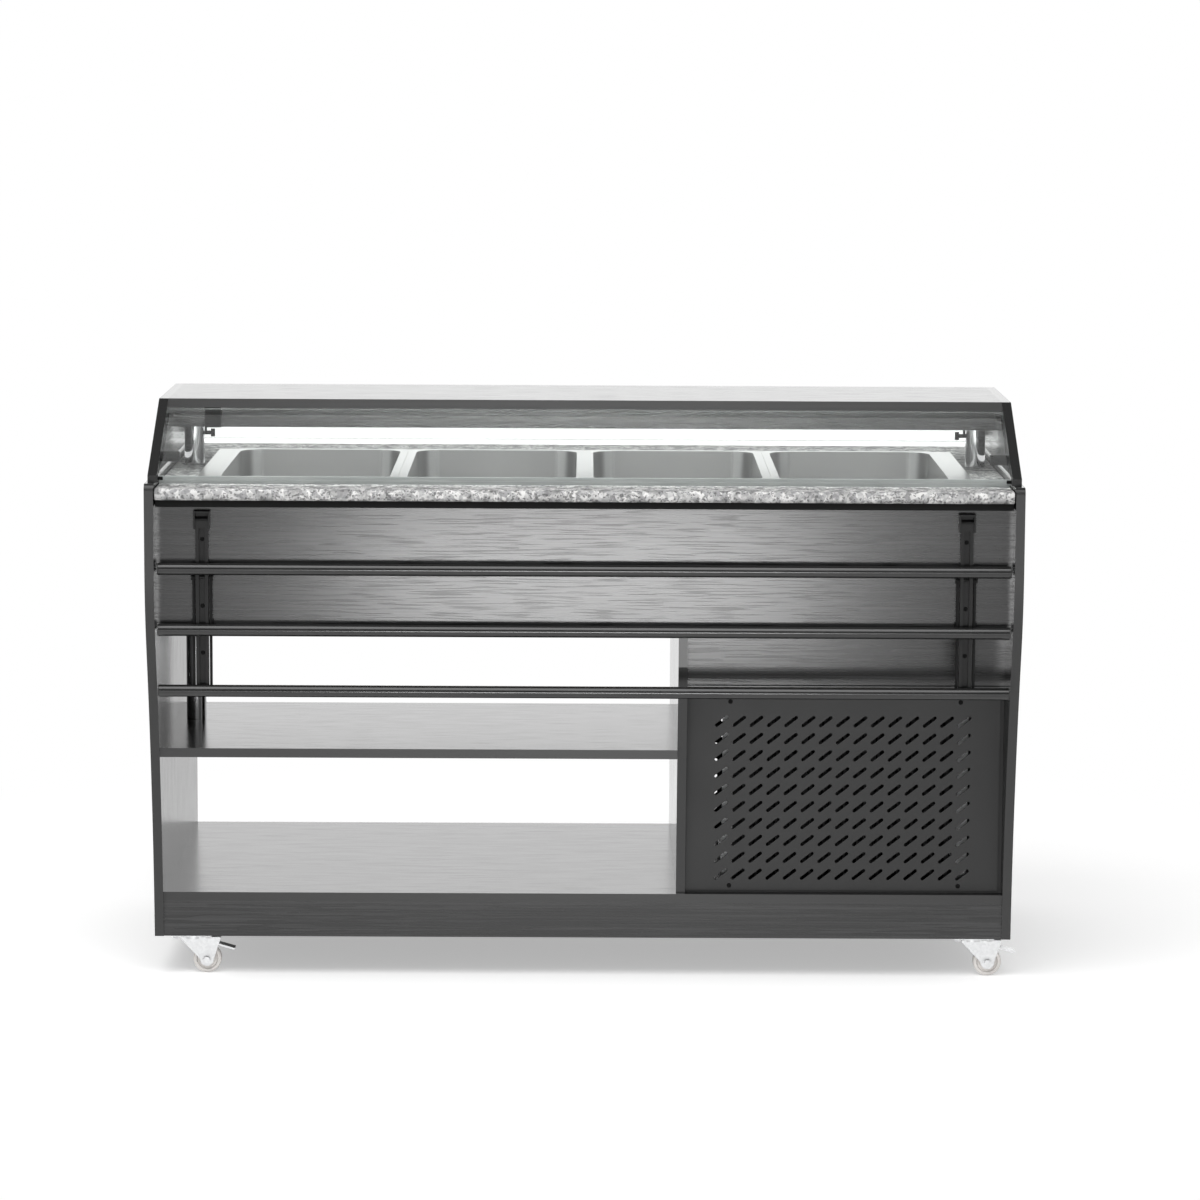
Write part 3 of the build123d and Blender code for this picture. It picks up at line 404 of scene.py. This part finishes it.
for name, obj in nodes.items():
    finish = node_finish.get(name) or first_word_finish.get(name.split("_")[0], upright_board)
    obj.data.materials.clear()
    obj.data.materials.append(finish)


# Pieces made from meshes

def piece(name, mesh, body, finish):
    obj = bpy.data.objects.new(name, mesh)
    bpy.context.scene.collection.objects.link(obj)
    mesh.materials.clear()
    mesh.materials.append(finish)
    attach(obj, body)
    return obj


def plain_mesh(name, bm):
    mesh = bpy.data.meshes.new(name)
    bm.to_mesh(mesh)
    bm.free()
    return mesh


def turned(name, profile, centre, sides):
    """A solid of revolution about an axis along Y through centre: profile holds (radius, y) pairs."""
    bm = bmesh.new()
    rings = []
    for step in range(sides):
        turn = 2 * math.pi * step / sides
        rings.append([bm.verts.new((radius * math.cos(turn), y, radius * math.sin(turn)))
                      for radius, y in profile])
    for ring, following in zip(rings, rings[1:] + rings[:1]):
        for i in range(len(profile)):
            bm.faces.new((ring[i - 1], following[i - 1], following[i], ring[i]))
    bm.transform(Matrix.Translation(centre))
    return plain_mesh(name, bm)


def middle(node):
    low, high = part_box(node)
    return (low + high) / 2


# Castor wheels: a hub, a thinner web and a rounded tread

CASTORS = ("front_left", "front_right", "rear_left", "rear_right")
wheel_radius, wheel_half, wheel_sides = 25.0 * MM, 10.0 * MM, 64
hub_radius, bore_radius = 9.5 * MM, 4.2 * MM
web_half, web_edge = 6.5 * MM, 18.5 * MM
tread_round, tread_middle = 3.0 * MM, 0.9 * MM
taper, edge_round = 1.0 * MM, 0.8 * MM
half_profile = [
    (bore_radius, wheel_half),
    (hub_radius - taper, wheel_half),
    (hub_radius, wheel_half - edge_round),
    (hub_radius + taper, web_half),
    (web_edge - taper, web_half),
    (web_edge, wheel_half - edge_round),
    (web_edge + taper, wheel_half),
    (wheel_radius - tread_round, wheel_half),
    (wheel_radius - tread_middle, wheel_half - tread_middle),
    (wheel_radius, wheel_half - tread_round),
]
wheel_profile = half_profile + [(radius, -y) for radius, y in reversed(half_profile)]
for corner in CASTORS:
    node = f"castor_wheel_{corner}"
    mesh = turned(f"wheel_{corner}", wheel_profile, middle(node), wheel_sides)
    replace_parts(piece(f"wheel_{corner}", mesh, f"wheel_{corner}", nylon), node)


# Seal on the lower edge of the front pane: two lips with a groove between them

def pane_seal(name, node, lips, thickness):
    """Strips across the lower edge of a sloped pane; lips are ranges measured from its upper face."""
    corners = sorted({(round(v.co.y, 5), round(v.co.z, 5)) for v in nodes[node].data.vertices})
    upper, lower = (Vector((0.0, y, z)) for y, z in corners[:2])
    if upper.z < lower.z:
        upper, lower = lower, upper
    across = (lower - upper).normalized()
    out = Vector((0.0, across.z, -across.y))
    low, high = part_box(node)
    bm = bmesh.new()
    for start, end in lips:
        ring = [upper + across * start, upper + across * end,
                upper + across * end + out * thickness, upper + across * start + out * thickness]
        left = [bm.verts.new((low.x, p.y, p.z)) for p in ring]
        right = [bm.verts.new((high.x, p.y, p.z)) for p in ring]
        bm.faces.new(left)
        bm.faces.new(right)
        for i in range(4):
            bm.faces.new((left[i], left[i - 1], right[i - 1], right[i]))
    bmesh.ops.recalc_face_normals(bm, faces=bm.faces)
    piece(name, plain_mesh(name, bm), "hood", seal_strip)


pane_seal("front_pane_seal", "hood_glass_front", ((0.0, 7.0 * MM), (8.0 * MM, 15.0 * MM)), 2.0 * MM)


# Repeated hardware from Geometry Nodes

class Branch:
    """A Geometry Nodes tree with named sizes."""

    def __init__(self, name):
        self.tree = bpy.data.node_groups.new(name, "GeometryNodeTree")
        self.inputs = {}
        self.tree.interface.new_socket("Geometry", in_out="INPUT", socket_type="NodeSocketGeometry")
        self.tree.interface.new_socket("Geometry", in_out="OUTPUT", socket_type="NodeSocketGeometry")
        self.entry = self.tree.nodes.new("NodeGroupInput")

    def size(self, name, kind="NodeSocketFloat"):
        socket = self.tree.interface.new_socket(name, in_out="INPUT", socket_type=kind)
        self.inputs[name] = socket.identifier
        return self.entry.outputs[name]

    def node(self, kind, settings=None, sockets=None):
        made = self.tree.nodes.new(kind)
        for name, value in (settings or {}).items():
            setattr(made, name, value)
        for name, value in (sockets or {}).items():
            for one in value if isinstance(value, list) else [value]:
                if isinstance(one, bpy.types.NodeSocket):
                    self.tree.links.new(one, made.inputs[name])
                else:
                    made.inputs[name].default_value = one
        return made.outputs[0]

    def share(self, size, part):
        return self.node("ShaderNodeMath", {"operation": "MULTIPLY"}, {0: size, 1: part})

    def lift(self, shape, height):
        way = self.node("ShaderNodeCombineXYZ", None, {2: height})
        return self.node("GeometryNodeTransform", None, {0: shape, "Translation": way})

    def finish(self, geometry, material):
        shape = self.node("GeometryNodeRealizeInstances", None, {0: geometry})
        shape = self.node("GeometryNodeSetMaterial", None, {0: shape, "Material": material})
        end = self.tree.nodes.new("NodeGroupOutput")
        self.tree.links.new(shape, end.inputs[0])


def flat_head(branch, radius, height, sides):
    """A flat prism on its base: a nut or bolt head with 6 sides, a plug with many."""
    collar = branch.node("GeometryNodeMeshCylinder", None,
                         {"Vertices": sides, "Radius": radius, "Depth": height})
    return branch.lift(collar, branch.share(height, 0.5))


def cross_head(branch, radius, height, sides):
    """A screw head with a shoulder, a tapered crown and a cross recess."""
    shoulder = branch.share(height, 0.45)
    base = branch.node("GeometryNodeMeshCylinder", None,
                       {"Vertices": sides, "Radius": radius, "Depth": shoulder})
    crown = branch.node("GeometryNodeMeshCone", None,
                        {"Vertices": sides, "Radius Bottom": radius,
                         "Radius Top": branch.share(radius, 0.72), "Depth": branch.share(height, 0.55)})
    base = branch.lift(base, branch.share(shoulder, 0.5))
    crown = branch.lift(crown, shoulder)
    head = branch.node("GeometryNodeMeshBoolean", {"operation": "UNION", "solver": "EXACT"},
                       {1: [base, crown]})
    long_side, short_side = branch.share(radius, 1.1), branch.share(radius, 0.24)
    for wide, deep in ((long_side, short_side), (short_side, long_side)):
        bar_size = branch.node("ShaderNodeCombineXYZ", None, {0: wide, 1: deep, 2: height})
        bar = branch.lift(branch.node("GeometryNodeMeshCube", None, {"Size": bar_size}), height)
        head = branch.node("GeometryNodeMeshBoolean", {"operation": "DIFFERENCE", "solver": "EXACT"},
                           {0: head, 1: [bar]})
    return head


def head_tree(name, shape, sides):
    """Heads of one shape on the points of a mesh, all turned the same way."""
    branch = Branch(name)
    radius = branch.size("Radius")
    height = branch.size("Height")
    turn = branch.size("Turn", "NodeSocketRotation")
    material = branch.size("Material", "NodeSocketMaterial")
    head = shape(branch, radius, height, sides)
    points = branch.node("GeometryNodeMeshToPoints", None, {0: branch.entry.outputs[0]})
    placed = branch.node("GeometryNodeInstanceOnPoints", None,
                         {"Points": points, "Instance": head, "Rotation": turn})
    branch.finish(placed, material)
    return branch


def spread(name, branch, points, body, slot, finish, facing, **sizes):
    """Runs a tree on a set of points, makes the result a plain mesh and rides it on a body."""
    cloud = bpy.data.meshes.new(f"{name}_points")
    cloud.from_pydata([tuple(point) for point in points], [], [])
    carrier = bpy.data.objects.new(f"{name}_carrier", cloud)
    bpy.context.scene.collection.objects.link(carrier)
    modifier = carrier.modifiers.new("heads", "NODES")
    modifier.node_group = branch.tree
    turn = Vector((0, 0, 1)).rotation_difference(Vector(facing)).to_euler()
    values = {"Material": finish, "Turn": turn, **sizes}
    for key, value in values.items():
        modifier[branch.inputs[key]] = value
    graph = bpy.context.evaluated_depsgraph_get()
    mesh = bpy.data.meshes.new_from_object(carrier.evaluated_get(graph))
    bpy.data.objects.remove(carrier)
    piece(name, mesh, body, finish)


screw_heads = head_tree("screw_heads", cross_head, 24)
hex_heads = head_tree("hex_heads", flat_head, 6)
plug_heads = head_tree("plug_heads", flat_head, 32)

# Screws of the front grille
grille_low, grille_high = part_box("grille_front")
grille_screw_x = (258.0 * MM, 663.0 * MM)
grille_screw_z = (grille_low.z + 8.0 * MM, grille_high.z - 16.0 * MM)
spread("grille_screws", screw_heads,
       [(x, grille_low.y, z) for x in grille_screw_x for z in grille_screw_z],
       "cabinet", "black_metal", fitting_black, (0, -1, 0), Radius=4.0 * MM, Height=2.0 * MM)

# Screws of the rear grille and the control plate
rear_low, rear_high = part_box("grille_rear")
rear_inset = 14.0 * MM
rear_screw_x = (rear_low.x + rear_inset, (rear_low.x + rear_high.x) / 2, rear_high.x - rear_inset)
rear_screw_z = (rear_low.z + rear_inset, rear_high.z - rear_inset)
spread("rear_grille_screws", screw_heads,
       [(x, rear_high.y, z) for x in rear_screw_x for z in rear_screw_z],
       "cabinet", "black_metal", black_metal, (0, 1, 0), Radius=4.0 * MM, Height=2.0 * MM)

control_low, control_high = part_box("control_panel")
control_thickness, control_inset = 3.0 * MM, 8.0 * MM
control_face = rear_high.y + control_thickness
control_screw_x = (control_low.x + control_inset, control_high.x - control_inset)
control_screw_z = (control_low.z + control_inset, control_high.z - control_inset)
spread("control_screws", screw_heads,
       [(x, control_face, z) for x in control_screw_x for z in control_screw_z],
       "cabinet", "zinc", zinc_plate, (0, 1, 0), Radius=3.2 * MM, Height=1.6 * MM)

# Screws in the arms' channels, between the rails
arms_low, arms_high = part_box("tray_arms")
arm_inset, channel_depth = 19.7 * MM, 7.0 * MM
arm_screw_x = (arms_low.x + arm_inset, arms_high.x - arm_inset)
arm_screw_z = (788.0 * MM, 672.0 * MM, 590.0 * MM)
spread("arm_screws", screw_heads,
       [(x, arms_low.y + channel_depth, z) for x in arm_screw_x for z in arm_screw_z],
       "tray", "black_metal", fitting_black, (0, -1, 0), Radius=3.6 * MM, Height=2.0 * MM)

# Plugs in the open ends of the rails
rails_low, rails_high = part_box("tray_rails")
rails_middle = (rails_low + rails_high) / 2
rail_radius = 10.5 * MM
rail_heights = (rails_high.z - rail_radius, rails_middle.z, rails_low.z + rail_radius)
for name, x, way in (("rail_plugs_left", rails_low.x, -1), ("rail_plugs_right", rails_high.x, 1)):
    spread(name, plug_heads, [(x, rails_middle.y, z) for z in rail_heights], "tray", "black_plastic",
           black_plastic, (way, 0, 0), Radius=10.2 * MM, Height=2.0 * MM)

# Axle nuts on the forks and bolts of the castor plates
plate_thickness = 2.0 * MM
plate_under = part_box("castor_plates")[1].z - plate_thickness
bolt_half_x, bolt_half_y = 28.0 * MM, 23.0 * MM
castor_trail = 26.0 * MM
plate_bolts = []
for corner in CASTORS:
    axle = middle(f"castor_wheel_{corner}")
    plate_bolts += [(axle.x - castor_trail + a * bolt_half_x, axle.y + b * bolt_half_y, plate_under)
                    for a in (-1, 1) for b in (-1, 1)]
    fork_low, fork_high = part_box(f"castor_fork_{corner}")
    for name, y, way in (("front", fork_low.y, -1), ("back", fork_high.y, 1)):
        spread(f"axle_nut_{corner}_{name}", hex_heads, [(axle.x, y, axle.z)], f"fork_{corner}",
               "zinc", zinc_plate, (0, way, 0), Radius=6.5 * MM, Height=4.0 * MM)
spread("castor_bolts", hex_heads, plate_bolts, "cabinet", "zinc", zinc_plate, (0, 0, -1),
       Radius=5.5 * MM, Height=4.0 * MM)


# Dial ticks and pointer of the thermostat, and the pins of the mains inlet

def bars(name, boxes, body, finish):
    """Bars with rounded edges: each box is a middle, its sizes and a turn about Y."""
    bm = bmesh.new()
    for place, sizes, turn in boxes:
        made = bmesh.ops.create_cube(bm, size=1.0, matrix=Matrix.Translation(place)
                                     @ Matrix.Rotation(turn, 4, "Y") @ Matrix.Diagonal((*sizes, 1.0)))
        edges = list(dict.fromkeys(edge for vert in made["verts"] for edge in vert.link_edges))
        bmesh.ops.bevel(bm, geom=edges, offset=0.15 * min(sizes), segments=2, profile=0.5,
                        affect="EDGES")
    piece(name, plain_mesh(name, bm), body, finish)


knob_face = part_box("thermostat_knob")[1].y
knob_middle = middle("thermostat_knob")
print_height = 0.1 * MM
tick_radius, tick_size = 25.0 * MM, (1.0 * MM, 0.3 * MM, 5.0 * MM)
tick_count, first_turn, last_turn = 11, -135.0, 135.0
ticks = []
for step in range(tick_count):
    turn = math.radians(first_turn + (last_turn - first_turn) * step / (tick_count - 1))
    place = (knob_middle.x + tick_radius * math.sin(turn), control_face + print_height,
             knob_middle.z + tick_radius * math.cos(turn))
    ticks.append((place, tick_size, turn))
bars("dial_ticks", ticks, "cabinet", dial_white)

pointer_rise, pointer_size = 11.0 * MM, (1.6 * MM, 0.4 * MM, 9.0 * MM)
pointer_place = (knob_middle.x, knob_face + print_height, knob_middle.z + pointer_rise)
bars("knob_pointer", [(pointer_place, pointer_size, 0.0)], "thermostat", dial_white)

inlet_middle = middle("cord_inlet")
pin_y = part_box("cord_inlet")[0].y + 7.0 * MM
pin_size = (2.0 * MM, 10.0 * MM, 4.0 * MM)
pin_places = ((-7.0 * MM, -3.0 * MM), (0.0, 3.0 * MM), (7.0 * MM, -3.0 * MM))
bars("inlet_pins", [((inlet_middle.x + x, pin_y, inlet_middle.z + z), pin_size, 0.0)
                    for x, z in pin_places], "cabinet", zinc_plate)


# Black strips over the condenser and behind the grille's edges, painted shade; the end plates of the fins

def slab(low, high):
    """A bar between two corners, for bars()."""
    a, b = Vector(low), Vector(high)
    return ((a + b) / 2, b - a, 0.0)


fins_low, fins_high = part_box("condenser")
panel_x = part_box("side_panel_right")[0].x
board_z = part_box("bottom_board")[1].z
plate_width, lip = 19.0 * MM, 3.0 * MM
strip_height, strip_depth = 22.0 * MM, 40.0 * MM
bend_room, tab = 14.0 * MM, 10.0 * MM
fins_y, plate_y = fins_low.y, fins_low.y + lip
back_y, strip_y = grille_high.y, grille_high.y + lip
strip_x = grille_high.x - lip
# Painted shade: dark strips fill the gaps behind the grille's right and bottom edges and cover the
# condenser's top.
painted_shade_strips = [
    slab((fins_low.x - plate_width, fins_y, fins_high.z),
         (fins_high.x, fins_y + strip_depth, fins_high.z + strip_height)),
    slab((strip_x, back_y, board_z), (panel_x, strip_y, grille_high.z)),
    slab((grille_low.x, back_y, board_z), (strip_x, strip_y, grille_low.z + lip)),
]
bars("compartment_shade_strips", painted_shade_strips, "cabinet", black_rubber)

end_plates = [slab((x, fins_y, fins_low.z), (x + plate_width, plate_y, fins_high.z))
              for x in (fins_low.x - plate_width, fins_high.x + bend_room)]
end_plates += [slab((fins_high.x, fins_y, z), (fins_high.x + bend_room, plate_y, z + tab))
               for z in (fins_low.z, fins_high.z - tab)]
bars("condenser_end_plates", end_plates, "cabinet", zinc_plate)


# Camera, floor and light

def camera():
    pixels, focal = 1200.0, 4300.0
    stand = (0.0, -7.7275, 1.681)
    pitch, yaw, roll = math.radians(7.7), math.radians(0.211), math.radians(0.29)
    data = bpy.data.cameras.new("camera")
    data.sensor_width = 36.0
    data.lens = data.sensor_width * focal / pixels
    obj = bpy.data.objects.new("camera", data)
    bpy.context.scene.collection.objects.link(obj)
    turn = (Matrix.Rotation(-yaw, 4, "Z") @ Matrix.Rotation(math.pi / 2 - pitch, 4, "X")
            @ Matrix.Rotation(roll, 4, "Z"))
    obj.matrix_world = Matrix.Translation(stand) @ turn
    bpy.context.scene.camera = obj


def softbox(name, place, aim, width, height, power):
    data = bpy.data.lights.new(name, "AREA")
    data.shape = "RECTANGLE"
    data.size = width
    data.size_y = height
    data.energy = power
    obj = bpy.data.objects.new(name, data)
    bpy.context.scene.collection.objects.link(obj)
    way = Vector(aim) - Vector(place)
    obj.matrix_world = Matrix.Translation(place) @ way.to_track_quat("-Z", "Y").to_matrix().to_4x4()


def floor():
    """Pale floor: it keeps the unit's shadow near by and is plain white further off."""
    half_side, white_starts, white_full, shadow_lift = 40.0, 1.1, 2.0, 0.40
    bm = bmesh.new()
    bmesh.ops.create_grid(bm, x_segments=1, y_segments=1, size=half_side)
    mesh = plain_mesh("floor", bm)
    obj = bpy.data.objects.new("floor", mesh)
    bpy.context.scene.collection.objects.link(obj)
    material, f = start_material("pale_floor")
    to_camera, glossy, through = f.rays()
    seen = f.math("MINIMUM", to_camera + glossy + through, 1.0)
    point = f.node("ShaderNodeTexCoord", output="Object")
    reach = f.node("ShaderNodeVectorMath", {"operation": "LENGTH"}, {0: point}, output="Value")
    far = f.band(reach, white_starts, white_full)
    grain = f.noise(f.place(), 40.0, detail=2.0)
    matt = f.node("ShaderNodeBsdfDiffuse", None,
                  {"Color": f.ramp(grain, [(0.0, (0.79, 0.79, 0.79)), (1.0, (0.81, 0.81, 0.81))])})
    glow = f.node("ShaderNodeEmission", None, {"Color": grey(1.0), "Strength": seen * shadow_lift})
    near = f.node("ShaderNodeAddShader", None, {0: matt, 1: glow})
    white = f.node("ShaderNodeEmission", None, {"Color": grey(1.0), "Strength": 1.0})
    f.close(f.node("ShaderNodeMixShader", None, {0: far * seen, 1: near, 2: white}))
    mesh.materials.append(material)


def surroundings():
    """White for the camera; gloss sees a white backdrop behind, a dim room in front, a dark ceiling."""
    front_level, ceiling_loss, fill_level = 0.20, 0.85, 0.50
    world = bpy.data.worlds.new("studio")
    bpy.context.scene.world = world
    world.use_nodes = True
    f = Finish(world.node_tree)
    to_camera, glossy, through = f.rays()
    way = f.node("ShaderNodeTexCoord", output="Generated")
    back = f.node("ShaderNodeSeparateXYZ", None, {"Vector": way}, output=1)
    up = f.node("ShaderNodeSeparateXYZ", None, {"Vector": way}, output=2)
    backdrop = front_level + f.band(back, -0.70, -0.15) * (1.0 - front_level)
    room = backdrop * (1.0 - f.band(up, 0.45, 0.80) * ceiling_loss)
    white = f.math("MINIMUM", to_camera + through, 1.0)
    fill = (1.0 - white) * (1.0 - glossy)
    level = white + glossy * (1.0 - white) * room + fill * fill_level
    f.close(f.node("ShaderNodeBackground", None, {"Color": grey(1.0), "Strength": level}),
            "ShaderNodeOutputWorld")


camera()
floor()
surroundings()
softbox("top_softbox", place=(-0.5, -1.7, 3.4), aim=(0.0, 0.0, 0.6), width=3.6, height=2.6, power=95.0)
softbox("front_softbox", place=(0.0, -4.2, 0.23), aim=(0.0, 0.0, 0.55), width=1.2, height=0.44, power=29.0)
softbox("front_strip", place=(0.0, -4.2, 0.64), aim=(0.0, 0.0, 0.95), width=3.4, height=0.26, power=5.0)
softbox("back_softbox", place=(0.0, 4.5, 2.0), aim=(0.0, 0.0, 0.9), width=8.0, height=4.0, power=60.0)
bpy.context.scene.view_settings.view_transform = "Standard"
